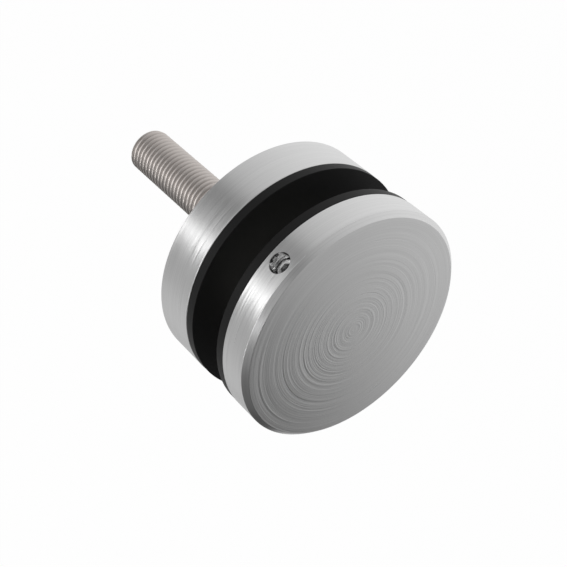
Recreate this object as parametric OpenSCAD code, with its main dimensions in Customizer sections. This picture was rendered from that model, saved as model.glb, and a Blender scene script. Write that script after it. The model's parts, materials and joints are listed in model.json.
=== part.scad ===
// Glass panel standoff: a wall bolt holds a turned base, and a cap screwed on to the base's
// spigot clamps a drilled glass panel between two rubber gaskets.
//
// Every piece is drawn standing on the wall, with Z as the distance off it. off_wall() then
// turns Z to the front, so the finished part has its wall face on Y = 0, its bolt along +Y
// into the wall, its cap towards -Y, +Z up and +X to the right.

/* [Base and cap] */
// Diameter of the base and of the cap
disc_d = 50; // [44:1:80]
// Thickness of the base between the wall and the rear gasket
base_t = 9; // [7:0.5:25]
// Thickness of the cap
cap_t = 7; // [6:0.5:15]
// Thickness of the cap's face over its threaded recess
cap_face_t = 1.5; // [1:0.1:2.5]
// Width of the 45 degree chamfer round the cap's face
cap_chamfer = 1; // [0.3:0.1:2]
// Width of the small chamfer that breaks every other turned edge
edge_break = 0.2; // [0.1:0.05:0.4]

/* [Glass and gaskets] */
// Thickness of the glass that the gaskets hold
glass_t = 8; // [6:0.5:16]
// Thickness of each gasket
gasket_t = 2; // [1:0.25:4]
// Distance of a gasket's rim inside the rim of the discs
gasket_inset = 0.05; // [0:0.05:1]
// Wall of the plastic sleeve that keeps the glass off the spigot
sleeve_wall = 1.4; // [0.8:0.1:3]
// Distance that the sleeve ends short of the front of the glass
sleeve_setback = 0.5; // [0.2:0.1:2]
// Radial play of the sleeve on the spigot
sleeve_play = 0.1; // [0.05:0.05:0.3]
// Radial play of the gaskets round the sleeve
gasket_play = 0.2; // [0.1:0.05:0.5]

/* [Spigot thread] */
// Wall of the spigot round the bolt's head
spigot_wall = 3.5; // [2.5:0.25:6]
// Pitch of the thread that joins the cap to the spigot
spigot_pitch = 1.5; // [0.75:0.25:1.5]
// Radial clearance of the cap's thread on the spigot
spigot_clearance = 0.05; // [0.02:0.01:0.1]
// Free space between the spigot's end and the floor of the cap's recess
cap_end_gap = 1.5; // [1.3:0.1:2.5]

/* [Wall bolt] */
// Thread diameter of the bolt
bolt_d = 10; // [6:1:14]
// Pitch of the bolt's thread
bolt_pitch = 1.25; // [0.75:0.25:1.5]
// Length of bolt that stands out behind the wall face
bolt_projection = 45; // [20:1:120]
// Thickness of the base under the bolt's head
bolt_seat_t = 5; // [3:0.5:6.5]
// Radial play of the bolt in the base's hole
bolt_play = 1; // [0.8:0.1:1.5]
// Distance that the bolt's head stands out beyond its thread
bolt_head_rim = 3; // [2.5:0.25:5]
// Height of the bolt's head
bolt_head_h = 10; // [6:0.5:12]
// Width of the hexagonal socket across its flats
bolt_hex = 8; // [4:0.5:9]
// Depth of the bolt's socket
bolt_hex_depth = 5; // [2:0.5:5.5]
// Radial room round the bolt's head
head_room = 1; // [0.5:0.1:2]

/* [Lock screw] */
// Thread diameter of the lock screw
lock_d = 4; // [3:0.5:4.5]
// Pitch of the lock screw's thread
lock_pitch = 0.7; // [0.35:0.05:0.8]
// Angle of the lock screw round the cap, from the top towards the left
lock_angle = 35; // [0:5:355]
// Depth of the lock screw's outer end below the cap's rim
lock_recess = 2.45; // [0.5:0.05:6]
// Radial clearance of the lock screw in its hole
lock_clearance = 0.1; // [0.05:0.01:0.1]
// Clearance of the lock screw's point off the spigot
lock_point_gap = 0.05; // [0.02:0.01:0.1]
// Width of the lock screw's hexagonal socket across its flats
lock_hex = 2; // [1.5:0.1:2.2]
// Depth of the lock screw's socket
lock_hex_depth = 2; // [1:0.25:3]

/* [Hidden] */
$fn = 128;

// Depth of an outside ISO thread and width of its crest, as shares of its pitch
thread_depth_share = 0.6134;
thread_crest_share = 1 / 8;
// Run of a thread's 60 degree flank along the axis, as a share of its depth
flank_run = tan(30);
// Depth and width of the relief behind the spigot's thread, as shares of its pitch
relief_depth_share = 0.75;
relief_width_share = 1.25;
// Depth of the relief at the end of the cap's thread, as a share of its pitch
recess_relief_share = 0.25;
// Chamfer of the bolt's head as a share of its height
head_chamfer_share = 1 / 12;
// Chamfer of the lock screw's point as a share of its radius, and the rim left round its cup
point_chamfer_share = 0.35;
cup_rim = 0.1;
// How much wider a socket's countersink is than the socket's corners
socket_mouth = 1.06;
// Cone of a drill point, as its depth over its radius
drill_cone = tan(30);

steel = [0.73, 0.73, 0.72];
bolt_steel = [0.62, 0.60, 0.57];
screw_steel = [0.50, 0.50, 0.51];
black_rubber = [0.06, 0.06, 0.06];
white_nylon = [0.90, 0.89, 0.85];

disc_r = disc_d / 2;
bolt_r = bolt_d / 2;
bolt_hole_r = bolt_r + bolt_play;
bolt_head_r = bolt_r + bolt_head_rim;
head_bore_r = bolt_head_r + head_room;

spigot_r = head_bore_r + spigot_wall;
spigot_thread_depth = thread_depth_share * spigot_pitch;
spigot_relief_r = spigot_r - relief_depth_share * spigot_pitch;
spigot_relief_w = relief_width_share * spigot_pitch;

gasket_r = disc_r - gasket_inset;
sleeve_inner_r = spigot_r + sleeve_play;
sleeve_outer_r = sleeve_inner_r + sleeve_wall;
gasket_hole_r = sleeve_outer_r + gasket_play;

// Distances off the wall
glass_back = base_t + gasket_t;
glass_front = glass_back + glass_t;
cap_back = glass_front + gasket_t;
cap_front = cap_back + cap_t;
recess_floor = cap_front - cap_face_t;
spigot_end = recess_floor - cap_end_gap;

recess_r = spigot_r + spigot_clearance;
recess_relief_r = recess_r + recess_relief_share * spigot_pitch;
recess_relief_w = cap_end_gap / 2;

lock_r = lock_d / 2;
lock_hole_r = lock_r + lock_clearance;
lock_height = cap_back + (cap_t - cap_chamfer) / 2;
lock_point = spigot_r + lock_point_gap;
lock_l = disc_r - lock_recess - lock_point;

// Turns the distance off the wall to the front
module off_wall() {
    rotate([90, 0, 0]) children();
}

// Puts a piece that stands along Z on the lock screw's line, with Z running outwards from the axis
module on_lock_line() {
    rotate([0, 0, 90 + lock_angle])
        translate([0, 0, lock_height])
            rotate([0, 90, 0]) children();
}

// Outline of a thread's grooves in order along the axis, from the crest that starts at z. Each turn of
// the thread is drawn as a ring, which keeps its true pitch, depth and flanks on a turned solid.
function thread_grooves(r, pitch, z, turns) =
    let (
        depth = thread_depth_share * pitch,
        run = flank_run * depth,
        crest = thread_crest_share * pitch
    )
    [
        for (turn = [0:turns - 1])
            let (start = z + crest + turn * pitch, end = z + (turn + 1) * pitch)
                each [[r, start], [r - depth, start + run], [r - depth, end - run], [r, end]]
    ];

// Hexagonal socket sunk down from z, with a drilled point below it and a countersunk mouth
module hex_socket(flats, depth, z) {
    corner_r = flats / 2 / cos(30);
    mouth_r = corner_r * socket_mouth;
    translate([0, 0, z - depth]) cylinder(r = corner_r, h = depth + 1, $fn = 6);
    translate([0, 0, z - depth - flats / 2 * drill_cone])
        cylinder(r1 = 0, r2 = flats / 2, h = flats / 2 * drill_cone);
    translate([0, 0, z - mouth_r * drill_cone])
        cylinder(r1 = 0, r2 = 2 * mouth_r, h = 2 * mouth_r * drill_cone);
}

// Flat rubber ring that lies on the plane z
module gasket(z) {
    translate([0, 0, z])
        rotate_extrude()
            polygon([
                [gasket_hole_r, 0],
                [gasket_r - edge_break, 0],
                [gasket_r, edge_break],
                [gasket_r, gasket_t - edge_break],
                [gasket_r - edge_break, gasket_t],
                [gasket_hole_r, gasket_t]
            ]);
}

// Turned disc with the threaded spigot in front, bored for the bolt and its head
module base_disc() {
    color(steel)
        off_wall()
            rotate_extrude()
                polygon([
                    [bolt_hole_r + edge_break, 0],
                    [disc_r - edge_break, 0],
                    [disc_r, edge_break],
                    [disc_r, base_t - edge_break],
                    [disc_r - edge_break, base_t],
                    [spigot_relief_r, base_t],
                    [spigot_relief_r, base_t + spigot_relief_w],
                    [spigot_r, base_t + spigot_relief_w + spigot_r - spigot_relief_r],
                    [spigot_r, spigot_end - spigot_thread_depth],
                    [spigot_r - spigot_thread_depth, spigot_end],
                    [head_bore_r + edge_break, spigot_end],
                    [head_bore_r, spigot_end - edge_break],
                    [head_bore_r, bolt_seat_t],
                    [bolt_hole_r, bolt_seat_t],
                    [bolt_hole_r, edge_break]
                ]);
}

// Socket head bolt, its head seated in the base and its thread running into the wall
module wall_bolt() {
    head_chamfer = head_chamfer_share * bolt_head_h;
    head_top = bolt_seat_t + bolt_head_h;
    thread_start = edge_break - bolt_projection;
    turns = floor((bolt_seat_t - thread_start) / bolt_pitch);
    color(bolt_steel)
        off_wall()
            difference() {
                rotate_extrude()
                    polygon([
                        [0, -bolt_projection],
                        [bolt_r - edge_break, -bolt_projection],
                        [bolt_r, thread_start],
                        each thread_grooves(bolt_r, bolt_pitch, thread_start, turns),
                        [bolt_r, bolt_seat_t],
                        [bolt_head_r, bolt_seat_t],
                        [bolt_head_r, head_top - head_chamfer],
                        [bolt_head_r - head_chamfer, head_top],
                        [0, head_top]
                    ]);
                hex_socket(bolt_hex, bolt_hex_depth, head_top);
            }
}

// Gasket between the base and the glass
module rear_gasket() {
    color(black_rubber) off_wall() gasket(base_t);
}

// Gasket between the glass and the cap
module front_gasket() {
    color(black_rubber) off_wall() gasket(glass_front);
}

// Plastic ring that lines the hole in the glass
module glass_sleeve() {
    sleeve_end = glass_front - sleeve_setback;
    color(white_nylon)
        off_wall()
            rotate_extrude()
                polygon([
                    [sleeve_inner_r + edge_break, base_t],
                    [sleeve_outer_r - edge_break, base_t],
                    [sleeve_outer_r, base_t + edge_break],
                    [sleeve_outer_r, sleeve_end - edge_break],
                    [sleeve_outer_r - edge_break, sleeve_end],
                    [sleeve_inner_r + edge_break, sleeve_end],
                    [sleeve_inner_r, sleeve_end - edge_break],
                    [sleeve_inner_r, base_t + edge_break]
                ]);
}

// Turned cap with a threaded recess behind its face and the lock screw's hole through its rim
module cap() {
    mouth = recess_r + spigot_thread_depth / 2;
    color(steel)
        off_wall()
            difference() {
                rotate_extrude()
                    polygon([
                        [mouth, cap_back],
                        [disc_r - edge_break, cap_back],
                        [disc_r, cap_back + edge_break],
                        [disc_r, cap_front - cap_chamfer],
                        [disc_r - cap_chamfer, cap_front],
                        [0, cap_front],
                        [0, recess_floor],
                        [recess_relief_r, recess_floor],
                        [recess_relief_r, recess_floor - recess_relief_w],
                        [recess_r, recess_floor - recess_relief_w - recess_relief_r + recess_r],
                        [recess_r, cap_back + mouth - recess_r]
                    ]);
                on_lock_line() cylinder(r = lock_hole_r, h = disc_d);
            }
}

// Cup point set screw that stops the cap from unscrewing
module lock_screw() {
    end_chamfer = thread_depth_share * lock_pitch;
    point_chamfer = point_chamfer_share * lock_r;
    cup_r = lock_r - point_chamfer - cup_rim;
    color(screw_steel)
        off_wall()
            on_lock_line()
                translate([0, 0, lock_point])
                    difference() {
                        rotate_extrude()
                            polygon([
                                [0, cup_r * drill_cone],
                                [cup_r, 0],
                                [lock_r - point_chamfer, 0],
                                [lock_r, point_chamfer],
                                [lock_r, lock_l - end_chamfer],
                                [lock_r - end_chamfer, lock_l],
                                [0, lock_l]
                            ]);
                        hex_socket(lock_hex, lock_hex_depth, lock_l);
                    }
}

base_disc();
wall_bolt();
rear_gasket();
glass_sleeve();
front_gasket();
cap();
lock_screw();
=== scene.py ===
"""Looks of a glass panel standoff: turned and brushed steel discs, cut threads, rubber and nylon."""

import json
import math

import bmesh
import bpy
from mathutils import Matrix, Vector


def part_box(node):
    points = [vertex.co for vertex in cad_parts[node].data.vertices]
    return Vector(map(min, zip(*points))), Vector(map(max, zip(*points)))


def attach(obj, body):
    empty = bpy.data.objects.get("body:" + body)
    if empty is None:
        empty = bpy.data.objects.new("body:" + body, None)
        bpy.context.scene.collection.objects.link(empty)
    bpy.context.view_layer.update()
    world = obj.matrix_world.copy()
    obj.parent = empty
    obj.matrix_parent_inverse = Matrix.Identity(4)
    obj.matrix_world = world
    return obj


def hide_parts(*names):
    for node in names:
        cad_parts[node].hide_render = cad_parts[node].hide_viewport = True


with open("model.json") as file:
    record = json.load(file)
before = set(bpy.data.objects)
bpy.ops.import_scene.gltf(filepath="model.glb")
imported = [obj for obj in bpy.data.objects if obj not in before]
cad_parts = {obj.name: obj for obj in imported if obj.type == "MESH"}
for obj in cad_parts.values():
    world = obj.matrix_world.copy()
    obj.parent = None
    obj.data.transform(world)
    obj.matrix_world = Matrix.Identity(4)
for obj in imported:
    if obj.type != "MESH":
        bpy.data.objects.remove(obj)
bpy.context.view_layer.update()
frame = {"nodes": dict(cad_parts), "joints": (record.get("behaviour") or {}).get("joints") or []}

mm = 0.001

# The standoff's axis runs along Y: the wall face is on Y = 0 and the front is towards -Y.
AXIS = Vector((0, 1, 0))

# Points nearer than this to a plane lie on it, and points nearer than this to each other are one.
ON_PLANE, AS_ONE = 0.01 * mm, 0.001 * mm

# ---------------------------------------------------------------- sizes that the frame gives


def places(node):
    """(distance from the axis, Y) of each point of a CAD node."""
    return [(math.hypot(v.co.x, v.co.z), v.co.y) for v in frame["nodes"][node].data.vertices]


def radii(node, plane=None):
    """Smallest and largest distance from the axis of a CAD node, or of its points on a plane Y = plane."""
    found = [r for r, y in places(node) if plane is None or abs(y - plane) < ON_PLANE]
    return min(found), max(found)


def span(node):
    """Lowest and highest Y of a CAD node."""
    low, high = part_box(node)
    return low.y, high.y


cap_front, cap_back = span("cap")
base_front = span("rear_gasket")[1]
spigot_end, wall_face = span("base_disc")
head_top, bolt_end = span("wall_bolt")

disc_r = radii("cap")[1]
cap_face_r = radii("cap", cap_front)[1]
spigot_tip_r = radii("base_disc", spigot_end)[1]
relief_r = radii("base_disc", base_front)[0]
head_bore_r = radii("base_disc", spigot_end)[0]
bolt_hole_r = radii("base_disc")[0]
head_r = radii("wall_bolt")[1]
head_edge_r = radii("wall_bolt", head_top)[1]
bolt_tip_r = radii("wall_bolt", bolt_end)[1]

lock_axis = Vector(next(j["axis"] for j in frame["joints"] if j["name"] == "lock_screw_travel"))
lock_reach = [v.co.dot(lock_axis) for v in frame["nodes"]["lock_screw"].data.vertices]
lock_point, lock_head = min(lock_reach), max(lock_reach)
lock_y = sum(span("lock_screw")) / 2

# ---------------------------------------------------------------- sizes of threads, sockets and small edges

BOLT_R, BOLT_PITCH = 5 * mm, 1.25 * mm
BOLT_SEAT = -5 * mm
BOLT_HEX, BOLT_HEX_DEPTH = 8 * mm, 5 * mm
SPIGOT_R, SPIGOT_PITCH = 12.5 * mm, 1.5 * mm
SPIGOT_RELIEF = 1.875 * mm
CAP_CLEARANCE = 0.05 * mm
CAP_FACE_T = 1.5 * mm
CAP_RELIEF_R, CAP_RELIEF = 12.925 * mm, 0.75 * mm
LOCK_R, LOCK_PITCH = 2 * mm, 0.7 * mm
LOCK_HOLE_R = 2.1 * mm
LOCK_POINT_R = 0.65 * LOCK_R
LOCK_HEX, LOCK_HEX_DEPTH = 2 * mm, 2 * mm

# Rolled threads have well rounded crests. Radii and depth are shares of the pitch, and the flanks of a
# 60 degree thread give the depth that is left between the two radii.
ROOT_RADIUS, CREST_RADIUS = 0.10, 0.33
THREAD_DEPTH = math.sqrt(3) / 2 - ROOT_RADIUS - CREST_RADIUS

# A socket is drilled with a radius a little under half its flats, and its mouth is countersunk this deep.
SOCKET_DRILL = 0.49
SOCKET_MOUTH = 0.1 * mm

# Depth by radius of the cones that a drill, a countersink and the lock screw's cup leave
CONE_SLOPE = math.tan(math.radians(30))

EDGE = 0.1 * mm
FINE_EDGE = 0.04 * mm

# Edges sharper than the first angle are rounded over, and those sharper than the second shade as sharp.
ROUNDED_FROM, SHARP_FROM = math.radians(30), math.radians(50)

# Facets round each turned form
DISC_STEPS, SPIGOT_STEPS, BOLT_STEPS, LOCK_STEPS, SOCKET_STEPS = 256, 128, 72, 48, 48

# ---------------------------------------------------------------- modelling


def mesh_of(name, bm):
    """Makes a mesh of what is modelled so far."""
    mesh = bpy.data.meshes.new(name)
    bm.to_mesh(mesh)
    return mesh


def in_scene(name, data):
    """Makes an object and puts it in the scene."""
    obj = bpy.data.objects.new(name, data)
    bpy.context.scene.collection.objects.link(obj)
    return obj


def draw(bm, outline, closed=False):
    """Draws an outline of (radius, Y) points and returns its points and edges."""
    points = [bm.verts.new((r, y, 0)) for r, y in outline]
    pairs = list(zip(points, points[1:])) + ([(points[-1], points[0])] if closed else [])
    return points + [bm.edges.new(pair) for pair in pairs]


def turn(bm, outline, steps, rounding=0.0, closed=False):
    """Spins an outline round the axis and rounds its sharp edges over."""
    bmesh.ops.spin(bm, geom=draw(bm, outline, closed), cent=(0, 0, 0), axis=AXIS, dvec=(0, 0, 0),
                   angle=math.tau, steps=steps, use_merge=True)
    bmesh.ops.remove_doubles(bm, verts=bm.verts, dist=AS_ONE)
    bmesh.ops.recalc_face_normals(bm, faces=bm.faces)
    if rounding:
        sharp = [e for e in bm.edges if e.is_manifold and e.calc_face_angle() > ROUNDED_FROM]
        bmesh.ops.bevel(bm, geom=sharp, offset=rounding, segments=3, profile=0.5, affect="EDGES",
                        clamp_overlap=True, material=-1)


def thread_outline(major, pitch):
    """(radius, Y) points of one pitch of a 60 degree thread, from the middle of a root to the next."""
    root_arc, crest_arc = ROOT_RADIUS * pitch, CREST_RADIUS * pitch
    root = major - THREAD_DEPTH * pitch
    slopes = [math.radians(degrees) for degrees in (0, 20, 40, 60)]
    rise = [(root + root_arc * (1 - math.cos(a)), root_arc * math.sin(a)) for a in slopes]
    rise += [(major - crest_arc * (1 - math.cos(a)), pitch / 2 - crest_arc * math.sin(a))
             for a in reversed(slopes)]
    return rise + [(r, pitch - y) for r, y in reversed(rise[:-1])]


def helix(bm, major, pitch, low, high, steps):
    """Winds a right-handed thread that is open at both ends and reaches from Y = low to Y = high."""
    first = (math.floor(low / pitch) - 1) * pitch
    turns = math.ceil((high - first) / pitch) + 1
    outline = [(r, first + y) for r, y in thread_outline(major, pitch)]
    bmesh.ops.spin(bm, geom=draw(bm, outline), cent=(0, 0, 0), axis=AXIS, dvec=AXIS * pitch / steps,
                   angle=math.tau, steps=steps)
    first_turn = bm.verts[:] + bm.edges[:] + bm.faces[:]
    for turn_number in range(1, turns):
        copied = bmesh.ops.duplicate(bm, geom=first_turn)["geom"]
        moved = [part for part in copied if isinstance(part, bmesh.types.BMVert)]
        bmesh.ops.translate(bm, verts=moved, vec=AXIS * pitch * turn_number)
    bmesh.ops.remove_doubles(bm, verts=bm.verts, dist=AS_ONE)
    for plane, outwards in ((low, -AXIS), (high, AXIS)):
        bmesh.ops.bisect_plane(bm, geom=bm.verts[:] + bm.edges[:] + bm.faces[:], dist=AS_ONE / 10,
                               plane_co=AXIS * plane, plane_no=outwards, clear_outer=True)


def run_out(bm, rims):
    """Ends a thread in 45 degree cones, which cut its ridge down and fill its groove up to round rims."""
    for v in bm.verts:
        r = was = math.hypot(v.co.x, v.co.z)
        for rim_r, rim_y in rims:
            away = abs(v.co.y - rim_y)
            r = min(max(r, rim_r - away), rim_r + away)
        v.co.x *= r / was
        v.co.z *= r / was


def add_thread(bm, major, pitch, rims, steps):
    """Adds a thread to a piece that is already turned, between two rims that are each (radius, Y)."""
    thread = bmesh.new()
    (_, low), (_, high) = rims
    helix(thread, major, pitch, low, high, steps)
    run_out(thread, rims)
    carrier = mesh_of("thread", thread)
    thread.free()
    bm.from_mesh(carrier)
    bpy.data.meshes.remove(carrier)


def rim(bm, y):
    """Open edges that lie on the plane Y = y."""
    return [e for e in bm.edges if e.is_boundary and all(abs(v.co.y - y) < ON_PLANE for v in e.verts)]


def join_rims(bm, *planes):
    """Bridges the open rims that lie on two planes."""
    bmesh.ops.bridge_loops(bm, edges=[e for y in planes for e in rim(bm, y)])


def piece(name, bm, material, slot, body, *nodes):
    """Makes a finished piece of what is modelled: it rides on its body and stands for its CAD nodes."""
    bmesh.ops.recalc_face_normals(bm, faces=bm.faces)
    mesh = mesh_of(name, bm)
    bm.free()
    mesh.materials.append(material)
    mesh.shade_smooth()
    mesh.set_sharp_from_angle(angle=SHARP_FROM)
    obj = in_scene(name, mesh)
    weighted = obj.modifiers.new("flat faces stay flat", "WEIGHTED_NORMAL")
    weighted.keep_sharp = True
    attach(obj, body)
    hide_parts(*nodes)


def cut_away(bm, tool):
    """Takes a tool's shape away from a piece."""
    bmesh.ops.recalc_face_normals(bm, faces=bm.faces)
    cutter, blank = mesh_of("cutter", tool), mesh_of("blank", bm)
    tool.free()
    cutter_obj, blank_obj = in_scene("cutter", cutter), in_scene("blank", blank)
    cut = blank_obj.modifiers.new("cut", "BOOLEAN")
    cut.operation, cut.solver, cut.object = "DIFFERENCE", "EXACT", cutter_obj
    graph = bpy.context.evaluated_depsgraph_get()
    bm.clear()
    bm.from_object(blank_obj, graph)
    for obj in (cutter_obj, blank_obj):
        bpy.data.objects.remove(obj)
    for mesh in (cutter, blank):
        bpy.data.meshes.remove(mesh)


def round_bar(low, high, low_r, high_r, sides):
    """A closed bar or cone that runs along Y from low to high."""
    bm = bmesh.new()
    middle, length = (low + high) / 2, high - low
    upright = Matrix.Translation((0, middle, 0)) @ Matrix.Rotation(math.radians(-90), 4, "X")
    bmesh.ops.create_cone(bm, cap_ends=True, segments=sides, radius1=low_r, radius2=high_r,
                          depth=length, matrix=upright)
    return bm


def sink_socket(bm, mouth, inwards, flats, depth):
    """Sinks a hexagonal socket with a drilled point and a countersunk mouth.

    mouth is the Y of the face it is sunk in, and inwards is 1 or -1, the way along Y into the piece.
    """
    corner_r = flats / math.sqrt(3)
    drill_r = SOCKET_DRILL * flats
    # The drill's cone starts just above the hexagon's floor, so that no two faces lie in one plane.
    overlap = flats / 80
    cone_start = depth - overlap
    stages = (
        (-depth, depth, corner_r, corner_r, 6),
        (cone_start, cone_start + drill_r * CONE_SLOPE, drill_r, 0, SOCKET_STEPS),
        (-SOCKET_MOUTH, SOCKET_MOUTH, corner_r + 2 * SOCKET_MOUTH / CONE_SLOPE, corner_r, SOCKET_STEPS),
    )
    for start, end, start_r, end_r, sides in stages:
        low, high = sorted((mouth + inwards * start, mouth + inwards * end))
        low_r, high_r = (start_r, end_r) if inwards > 0 else (end_r, start_r)
        cut_away(bm, round_bar(low, high, low_r, high_r, sides))


def on_lock_line(bm):
    """Turns a shape that was made along Y on to the lock screw's line, its Y = 0 on the axis."""
    turned = AXIS.rotation_difference(lock_axis).to_matrix().to_4x4()
    bmesh.ops.transform(bm, matrix=Matrix.Translation((0, lock_y, 0)) @ turned, verts=bm.verts)


# ---------------------------------------------------------------- pieces


def steel_base(material):
    """Disc with the threaded spigot, bored for the bolt and its head."""
    thread_start = base_front - SPIGOT_RELIEF
    bm = bmesh.new()
    turn(bm, [
        (spigot_tip_r - FINE_EDGE, spigot_end),
        (head_bore_r, spigot_end),
        (head_bore_r - EDGE, spigot_end + EDGE),
        (head_bore_r - EDGE, BOLT_SEAT),
        (bolt_hole_r, BOLT_SEAT),
        (bolt_hole_r, wall_face - EDGE),
        (bolt_hole_r + EDGE, wall_face),
        (disc_r - EDGE, wall_face),
        (disc_r, wall_face - EDGE),
        (disc_r, base_front + EDGE),
        (disc_r - EDGE, base_front),
        (relief_r, base_front),
        (relief_r, thread_start),
    ], DISC_STEPS, FINE_EDGE)
    rims = (spigot_tip_r, spigot_end + FINE_EDGE), (relief_r, thread_start - FINE_EDGE)
    add_thread(bm, SPIGOT_R, SPIGOT_PITCH, rims, SPIGOT_STEPS)
    join_rims(bm, spigot_end, spigot_end + FINE_EDGE)
    join_rims(bm, thread_start, thread_start - FINE_EDGE)
    piece("base_steel", bm, material, "brushed_steel", "wall_side", "base_disc")


def steel_cap(material):
    """Cap with a threaded recess behind its face and the lock screw's hole through its rim."""
    recess_floor = cap_front + CAP_FACE_T
    relief_start = recess_floor + CAP_RELIEF
    recess_r = SPIGOT_R + CAP_CLEARANCE
    mouth_r = recess_r + THREAD_DEPTH * SPIGOT_PITCH / 2
    bm = bmesh.new()
    turn(bm, [
        (CAP_RELIEF_R, relief_start),
        (CAP_RELIEF_R, recess_floor),
        (0, recess_floor),
    ], DISC_STEPS)
    turn(bm, [
        (0, cap_front),
        (cap_face_r, cap_front),
        (disc_r, cap_front + disc_r - cap_face_r),
        (disc_r, cap_back - EDGE),
        (disc_r - EDGE, cap_back),
        (mouth_r, cap_back),
    ], DISC_STEPS, FINE_EDGE)
    rims = (CAP_RELIEF_R, relief_start + FINE_EDGE), (mouth_r, cap_back - FINE_EDGE)
    add_thread(bm, recess_r, SPIGOT_PITCH, rims, SPIGOT_STEPS)
    join_rims(bm, relief_start, relief_start + FINE_EDGE)
    join_rims(bm, cap_back, cap_back - FINE_EDGE)
    hole = round_bar(lock_point - LOCK_R, disc_r + LOCK_R, LOCK_HOLE_R, LOCK_HOLE_R, LOCK_STEPS)
    on_lock_line(hole)
    cut_away(bm, hole)
    piece("cap_steel", bm, material, "brushed_steel", "cap", "cap")


def wall_bolt(material):
    """Socket head bolt with its thread cut up to the head."""
    bm = bmesh.new()
    turn(bm, [
        (0, head_top),
        (head_edge_r, head_top),
        (head_r, head_top + head_r - head_edge_r),
        (head_r, BOLT_SEAT),
        (BOLT_R, BOLT_SEAT),
    ], BOLT_STEPS, FINE_EDGE)
    sink_socket(bm, head_top, 1, BOLT_HEX, BOLT_HEX_DEPTH)
    rims = (BOLT_R, BOLT_SEAT + EDGE), (bolt_tip_r, bolt_end)
    add_thread(bm, BOLT_R, BOLT_PITCH, rims, BOLT_STEPS)
    join_rims(bm, BOLT_SEAT, BOLT_SEAT + EDGE)
    bmesh.ops.holes_fill(bm, edges=rim(bm, bolt_end), sides=0)
    piece("bolt_steel", bm, material, "bolt_steel", "wall_side", "wall_bolt")


def lock_screw(material):
    """Cup point set screw. It is made along Y and then laid on its line."""
    cup_r = LOCK_POINT_R - FINE_EDGE
    end_r = LOCK_R - THREAD_DEPTH * LOCK_PITCH
    bm = bmesh.new()
    turn(bm, [
        (0, lock_point + cup_r * CONE_SLOPE),
        (cup_r, lock_point),
        (LOCK_POINT_R, lock_point),
    ], LOCK_STEPS)
    turn(bm, [
        (end_r - FINE_EDGE, lock_head),
        (0, lock_head),
    ], LOCK_STEPS)
    rims = (LOCK_POINT_R, lock_point + FINE_EDGE), (end_r, lock_head - FINE_EDGE)
    add_thread(bm, LOCK_R, LOCK_PITCH, rims, LOCK_STEPS)
    join_rims(bm, lock_point, lock_point + FINE_EDGE)
    join_rims(bm, lock_head, lock_head - FINE_EDGE)
    sink_socket(bm, lock_head, -1, LOCK_HEX, LOCK_HEX_DEPTH)
    on_lock_line(bm)
    piece("lock_screw_steel", bm, material, "screw_steel", "lock_screw", "lock_screw")


def flat_ring(name, node, material, slot, body):
    """A gasket or the sleeve: a ring of rectangular section with its edges rounded over."""
    (inner_r, outer_r), (front, back) = radii(node), span(node)
    bm = bmesh.new()
    outline = [(inner_r, front), (outer_r, front), (outer_r, back), (inner_r, back)]
    turn(bm, outline, DISC_STEPS, EDGE, closed=True)
    piece(name, bm, material, slot, body, node)


# ---------------------------------------------------------------- finishes

# Sockets that are taken by their place in the node
TEXTURE_GENERATED, TEXTURE_OBJECT = 0, 3
RAY_IS_CAMERA, RAY_IS_GLOSSY = 0, 3
COLOUR_SHARE, COLOUR_FROM, COLOUR_TO, COLOUR_RESULT = 0, 6, 7, 2

# The bolt's steel is slightly brown: shares of red, green and blue.
BROWN = (1.08, 1.0, 0.95)


def math_operator(operation):
    """One of Python's operators and its reflected form, which both add a Math node."""

    def forward(self, other):
        return self.shader.math(operation, self, other)

    def reflected(self, other):
        return self.shader.math(operation, other, self)

    return forward, reflected


class Value:
    """A number or colour that a shader works out."""

    def __init__(self, shader, output):
        self.shader = shader
        self.output = output

    __add__, __radd__ = math_operator("ADD")
    __sub__, __rsub__ = math_operator("SUBTRACT")
    __mul__, __rmul__ = math_operator("MULTIPLY")
    __truediv__, __rtruediv__ = math_operator("DIVIDE")
    __pow__, __rpow__ = math_operator("POWER")

    def step(self, start, end, low=0.0, high=1.0):
        """Eases from low to high as the value goes from start to end."""
        inputs = {"Value": self, "From Min": start, "From Max": end, "To Min": low, "To Max": high}
        return self.shader.node("ShaderNodeMapRange", {"interpolation_type": "SMOOTHSTEP"}, inputs)[0]

    def spread(self, low, high):
        """Turns a noise, which mostly stays between 0.2 and 0.8, into a value from low to high."""
        return self.step(0.2, 0.8, low, high)


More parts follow.
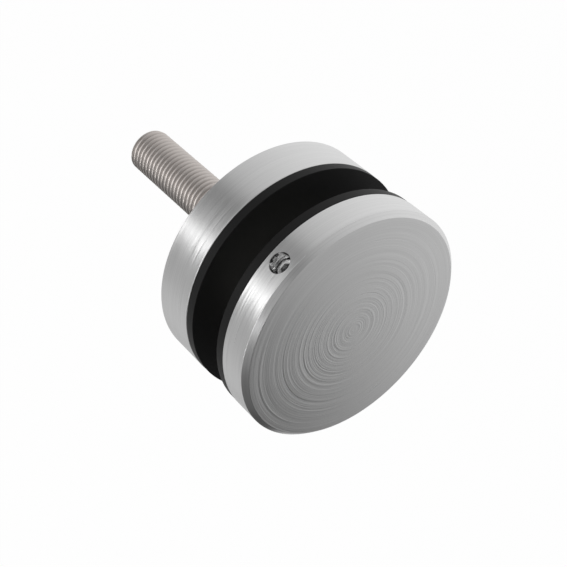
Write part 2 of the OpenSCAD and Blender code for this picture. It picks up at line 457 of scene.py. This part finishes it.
class Shader:
    """The nodes of one material or of the world."""

    def __init__(self, owner):
        owner.use_nodes = True
        self.tree = owner.node_tree
        self.tree.nodes.clear()

    def node(self, kind, settings=None, inputs=None):
        """Adds a node, sets it up, feeds its sockets with numbers or Values and returns its outputs."""
        node = self.tree.nodes.new(kind)
        for name, setting in (settings or {}).items():
            setattr(node, name, setting)
        for key, value in (inputs or {}).items():
            if isinstance(value, Value):
                self.tree.links.new(value.output, node.inputs[key])
            else:
                node.inputs[key].default_value = value
        return [Value(self, output) for output in node.outputs]

    def math(self, operation, *values):
        """Works numbers out with a Math node."""
        return self.node("ShaderNodeMath", {"operation": operation}, dict(enumerate(values)))[0]

    def place(self):
        """The point's X, Y and Z in millimetres, in the standoff's own frame."""
        point = self.node("ShaderNodeTexCoord")[TEXTURE_OBJECT]
        return [part / mm for part in self.node("ShaderNodeSeparateXYZ", inputs={0: point})]

    def radius(self):
        """The point's distance from the standoff's axis in millimetres."""
        x, _, z = self.place()
        return (x * x + z * z) ** 0.5

    def noise(self, x, y, z, detail):
        """Noise between 0 and 1 about a middle of 0.5, with finer noise added as detail grows."""
        place = self.node("ShaderNodeCombineXYZ", inputs={0: x, 1: y, 2: z})[0]
        return self.node("ShaderNodeTexNoise", inputs={"Vector": place, "Scale": 1.0, "Detail": detail})[0]

    def grain(self, per_mm, detail):
        """Noise that is as fine in every direction."""
        return self.noise(*[part * per_mm for part in self.place()], detail)

    def mix(self, share, first, second):
        """Mixes two colours."""
        inputs = {COLOUR_SHARE: share, COLOUR_FROM: first, COLOUR_TO: second}
        return self.node("ShaderNodeMix", {"data_type": "RGBA"}, inputs)[COLOUR_RESULT]

    def bump(self, height, depth):
        """Normal of a surface that a height from 0 to 1 raises by up to depth millimetres."""
        return self.node("ShaderNodeBump", inputs={"Height": height, "Distance": depth * mm})[0]

    def surface(self, **inputs):
        """Closes a material with a Principled shader."""
        inputs = {name.replace("_", " "): value for name, value in inputs.items()}
        shader = self.node("ShaderNodeBsdfPrincipled", inputs=inputs)[0]
        self.node("ShaderNodeOutputMaterial", inputs={"Surface": shader})


def new_material(name):
    """A material and the shader that is its nodes."""
    material = bpy.data.materials.new(name)
    return material, Shader(material)


def grey(value, tint=(1, 1, 1)):
    """A grey, or a grey that leans to a tint."""
    return (*(value * share for share in tint), 1)


def between(first, second, share):
    """Goes from first to second as share goes from 0 to 1."""
    return first + share * (second - first)


def turning_marks(s, across, per_mm, turning, detail):
    """Marks that run round the axis, per_mm of them across, and that change slowly with turning."""
    x, _, z = s.place()
    return s.noise(x * turning, across * per_mm, z * turning, detail)


def face_rings(s, cuts, brushing, hairlines):
    """Height of the rings on a face, which are faint in the middle and deepest just round it.

    They get shallower towards the rim, and they are pressed in most at the lower left.
    """
    x, _, z = s.place()
    r, face_r = s.radius(), cap_face_r / mm
    marks = (cuts - 0.5) * 0.55 + (brushing - 0.5) * 0.32 + (hairlines - 0.5) * 0.07
    pressure = x.step(-10, 12, 1.18, 0.62) * z.step(4, 14, 1.0, 0.55)
    on_face = r.step(0, 3, 0.3, 1.0) * r.step(6, 20, 1.2, 0.6) * r.step(face_r, face_r - 0.1)
    return marks * pressure * (0.2 + on_face)


def side_streaks(s, brushing):
    """Height of the streaks on a side, which come in bands and show most on the left."""
    x, y, _ = s.place()
    bands = turning_marks(s, y, 0.6, 0.02, detail=0.0).step(0.35, 0.65, 0.25, 1.4)
    streaks = turning_marks(s, y, 1.8, 0.02, detail=0.5)
    marks = (streaks - 0.5) * bands * 0.7 + (brushing - 0.5) * 0.1
    return marks * x.step(-20, -13, 1, 0.35)


def lock_hole_wall(s):
    """1 on the wall of the lock screw's hole and 0 on the rest of the steel."""
    x, y, z = s.place()
    out = x * lock_axis.x + z * lock_axis.z
    off_x, off_y, off_z = x - out * lock_axis.x, y - lock_y / mm, z - out * lock_axis.z
    off_line = (off_x ** 2 + off_y ** 2 + off_z ** 2) ** 0.5
    hole_r, side_r = LOCK_HOLE_R / mm, disc_r / mm
    return off_line.step(hole_r + 0.05, hole_r + 0.01) * s.radius().step(side_r - 0.05, side_r - 0.1)


def turned_steel():
    """Stainless steel, turned and then brushed while it spins. The lock screw's hole is plainly drilled."""
    material, s = new_material("turned_steel")
    r, side_r = s.radius(), disc_r / mm
    # The marks lie across the radius on a face, across Y on a side and across both on the cap's chamfer.
    across = r + s.place()[1]
    cuts = turning_marks(s, across, 1.3, 0.02, detail=1.0)
    brushing = turning_marks(s, across, 4, 0.05, detail=3.0)
    hairlines = turning_marks(s, across, 16, 0.03, detail=2.0)
    on_side = r.step(side_r - 0.1, side_r - 0.02)
    drilled = lock_hole_wall(s)

    colour = s.mix(hairlines.step(0.35, 0.65), grey(0.63), grey(0.70))
    colour = s.mix(drilled, colour, grey(0.85))
    roughness = between(brushing.spread(0.27, 0.34), 0.1, drilled)
    height = between(face_rings(s, cuts, brushing, hairlines), side_streaks(s, brushing), on_side)
    normal = s.bump(height * (1 - drilled), depth=0.07)
    s.surface(Base_Color=colour, Metallic=1.0, Roughness=roughness, Normal=normal)
    return material


def rolled_steel():
    """The bolt's steel, satin and slightly brown, with painted shade that makes it a little darker in the
    roots of the thread than on the crests.
    """
    material, s = new_material("rolled_steel")
    painted_root_shade_mask = s.radius().step((BOLT_R - THREAD_DEPTH * BOLT_PITCH) / mm, BOLT_R / mm)
    grain = s.grain(3, detail=4.0)
    # Painted shade: the base colour darkens from the crests down into the roots of the thread.
    s.surface(Base_Color=s.mix(painted_root_shade_mask, grey(0.45, BROWN), grey(0.51, BROWN)), Metallic=1.0,
              Roughness=grain.spread(0.30, 0.40), Normal=s.bump(grain, depth=0.004))
    return material


def plain_steel():
    """The lock screw's steel, satin with a fine grain."""
    material, s = new_material("plain_steel")
    grain = s.grain(6, detail=4.0)
    s.surface(Base_Color=s.mix(grain, grey(0.42), grey(0.48)), Metallic=1.0,
              Roughness=grain.spread(0.20, 0.30), Normal=s.bump(grain, depth=0.002))
    return material


def black_rubber():
    """Moulded rubber, matt with a fine skin."""
    material, s = new_material("black_rubber")
    skin = s.grain(8, detail=3.0)
    s.surface(Base_Color=s.mix(skin, grey(0.004), grey(0.006)), Specular_IOR_Level=0.18,
              Roughness=skin.spread(0.45, 0.53), Normal=s.bump(skin, depth=0.01))
    return material


def white_nylon():
    """Natural nylon, satin and slightly mottled."""
    material, s = new_material("white_nylon")
    mottle = s.grain(0.8, detail=3.0)
    s.surface(Base_Color=s.mix(mottle, (0.76, 0.75, 0.69, 1), (0.84, 0.83, 0.78, 1)),
              Roughness=mottle.spread(0.35, 0.50), Normal=s.bump(mottle, depth=0.02))
    return material


# ---------------------------------------------------------------- studio

# The floor lies well below the standoff. It shows the camera mostly its own white, and shadows for the rest.
FLOOR_SIZE, FLOOR_DROP = 4.0, 0.25
FLOOR_WHITE = 0.94

# The camera looks at a point in the base, a little below the axis, from this many degrees round and up.
CAMERA_SIDE, CAMERA_HEIGHT = -36.07, 40.55
CAMERA_DISTANCE = 248.7 * mm
CAMERA_LENS = 78.65
CAMERA_AIM = Vector((0.27, -5.12, -4.65)) * mm

# Strength of the tent's light, and what metal sees of the tent: the left wall at its foot and at its top,
# the right wall in the middle and its gain towards +X, +Y and +Z, and where along X one becomes the other.
TENT = 0.8
LEFT_FOOT, LEFT_TOP = 0.69, 0.11
RIGHT_MIDDLE, RIGHT_GAIN = 0.575, (0.44, 0.08, 0.03)
LEFT_END, RIGHT_START = -0.32, -0.04

# Side of the room, cosines at which a panel starts and is full, and its strength. The dark corner is laid
# over the walls before the panels are, and its strength is a share of theirs.
DARK_CORNER = (-0.62, -0.54, -0.84), 0.42, 0.59, 0.15
SOFT_PANELS = (
    ((-0.40, 0.63, -0.66), 0.93, 0.976, 0.70),
    ((-0.56, 0.02, 0.41), 0.76, 0.82, 0.96),
    ((-0.75, -0.60, -0.20), 0.80, 0.97, 0.28),
    ((-0.48, -0.33, -0.81), 0.90, 0.97, 0.15),
    ((-0.55, -0.77, 0.32), 0.96, 0.995, 0.50),
)

# Long soft boxes: both ends, width and power
SOFT_BOXES = {
    "strip_left": (Vector((-0.72, 0.87, 0.37)), Vector((-0.71, -0.81, -0.05)), 0.16, 1.65),
    "strip_low": (Vector((-0.75, 0.10, -0.20)), Vector((-0.75, -0.25, -0.22)), 0.1, 0.6),
}


def dot(ray, vector):
    """Dot product of a ray and a plain vector."""
    return sum(part * share for part, share in zip(ray, vector))


def towards(ray, side, start, end):
    """Rises from 0 to 1 as the cosine between a ray and a side of the room goes from start to end."""
    return dot(ray, Vector(side).normalized()).step(start, end)


def studio_world():
    """A white tent. Metal sees its panels: bright on the right, grey on the left, dark at the lower front."""
    world = bpy.data.worlds.new("studio")
    bpy.context.scene.world = world
    s = Shader(world)
    direction = s.node("ShaderNodeTexCoord")[TEXTURE_GENERATED]
    ray = s.node("ShaderNodeSeparateXYZ", inputs={0: direction})
    x, _, z = ray
    left = z.step(-1, 1, LEFT_FOOT, LEFT_TOP)
    right = RIGHT_MIDDLE + dot(ray, RIGHT_GAIN)
    room = between(left, right, x.step(LEFT_END, RIGHT_START))
    corner, start, end, shade = DARK_CORNER
    room = room * between(1.0, shade, towards(ray, corner, start, end))
    for side, start, end, strength in SOFT_PANELS:
        room = between(room, strength, towards(ray, side, start, end))
    path = s.node("ShaderNodeLightPath")
    strength = TENT + path[RAY_IS_CAMERA] * (1 - TENT) + path[RAY_IS_GLOSSY] * (room - TENT)
    background = s.node("ShaderNodeBackground", inputs={"Color": grey(1.0), "Strength": strength})[0]
    s.node("ShaderNodeOutputWorld", inputs={"Surface": background})


def floor():
    """Pale floor well below the standoff."""
    bm = bmesh.new()
    bmesh.ops.create_grid(bm, x_segments=1, y_segments=1, size=FLOOR_SIZE,
                          matrix=Matrix.Translation((0, 0, -FLOOR_DROP)))
    mesh = mesh_of("floor", bm)
    bm.free()
    obj = in_scene("floor", mesh)
    obj.visible_glossy = False
    material, s = new_material("pale_floor")
    matt = s.node("ShaderNodeBsdfDiffuse", inputs={"Color": grey(0.98)})[0]
    white = s.node("ShaderNodeEmission", inputs={"Color": grey(1.0), "Strength": 1.0})[0]
    seen = s.node("ShaderNodeLightPath")[RAY_IS_CAMERA] * FLOOR_WHITE
    surface = s.node("ShaderNodeMixShader", inputs={0: seen, 1: matt, 2: white})[0]
    s.node("ShaderNodeOutputMaterial", inputs={"Surface": surface})
    mesh.materials.append(material)


def soft_box(name, start, end, width, power):
    """A long lamp that runs from start to end and faces the standoff."""
    light = bpy.data.lights.new(name, "AREA")
    light.shape = "RECTANGLE"
    run = end - start
    light.size, light.size_y = run.length, width
    light.energy = power
    middle = (start + end) / 2
    away = middle.normalized()
    along = (run - away * run.dot(away)).normalized()
    turned = Matrix((along, away.cross(along), away)).transposed()
    in_scene(name, light).matrix_world = Matrix.Translation(middle) @ turned.to_4x4()


def camera():
    """Camera at the height and side from which the cap's face and the bolt both show."""
    data = bpy.data.cameras.new("camera")
    data.lens = CAMERA_LENS
    data.clip_start, data.clip_end = 10 * mm, 10
    side, height = math.radians(CAMERA_SIDE), math.radians(CAMERA_HEIGHT)
    back = Vector((math.sin(side) * math.cos(height), -math.cos(side) * math.cos(height), math.sin(height)))
    turned = back.to_track_quat("Z", "Y").to_matrix()
    obj = in_scene("camera", data)
    obj.matrix_world = Matrix.Translation(CAMERA_AIM + back * CAMERA_DISTANCE) @ turned.to_4x4()
    bpy.context.scene.camera = obj


# ---------------------------------------------------------------- the standoff in its studio

bpy.context.scene.view_settings.view_transform = "Standard"

steel = turned_steel()
rubber = black_rubber()
steel_base(steel)
steel_cap(steel)
wall_bolt(rolled_steel())
lock_screw(plain_steel())
flat_ring("gasket_rear", "rear_gasket", rubber, "black_rubber", "wall_side")
flat_ring("gasket_front", "front_gasket", rubber, "black_rubber", "gasket_carrier")
flat_ring("sleeve_nylon", "glass_sleeve", white_nylon(), "white_nylon", "wall_side")

studio_world()
floor()
for name, strip in SOFT_BOXES.items():
    soft_box(name, *strip)
camera()
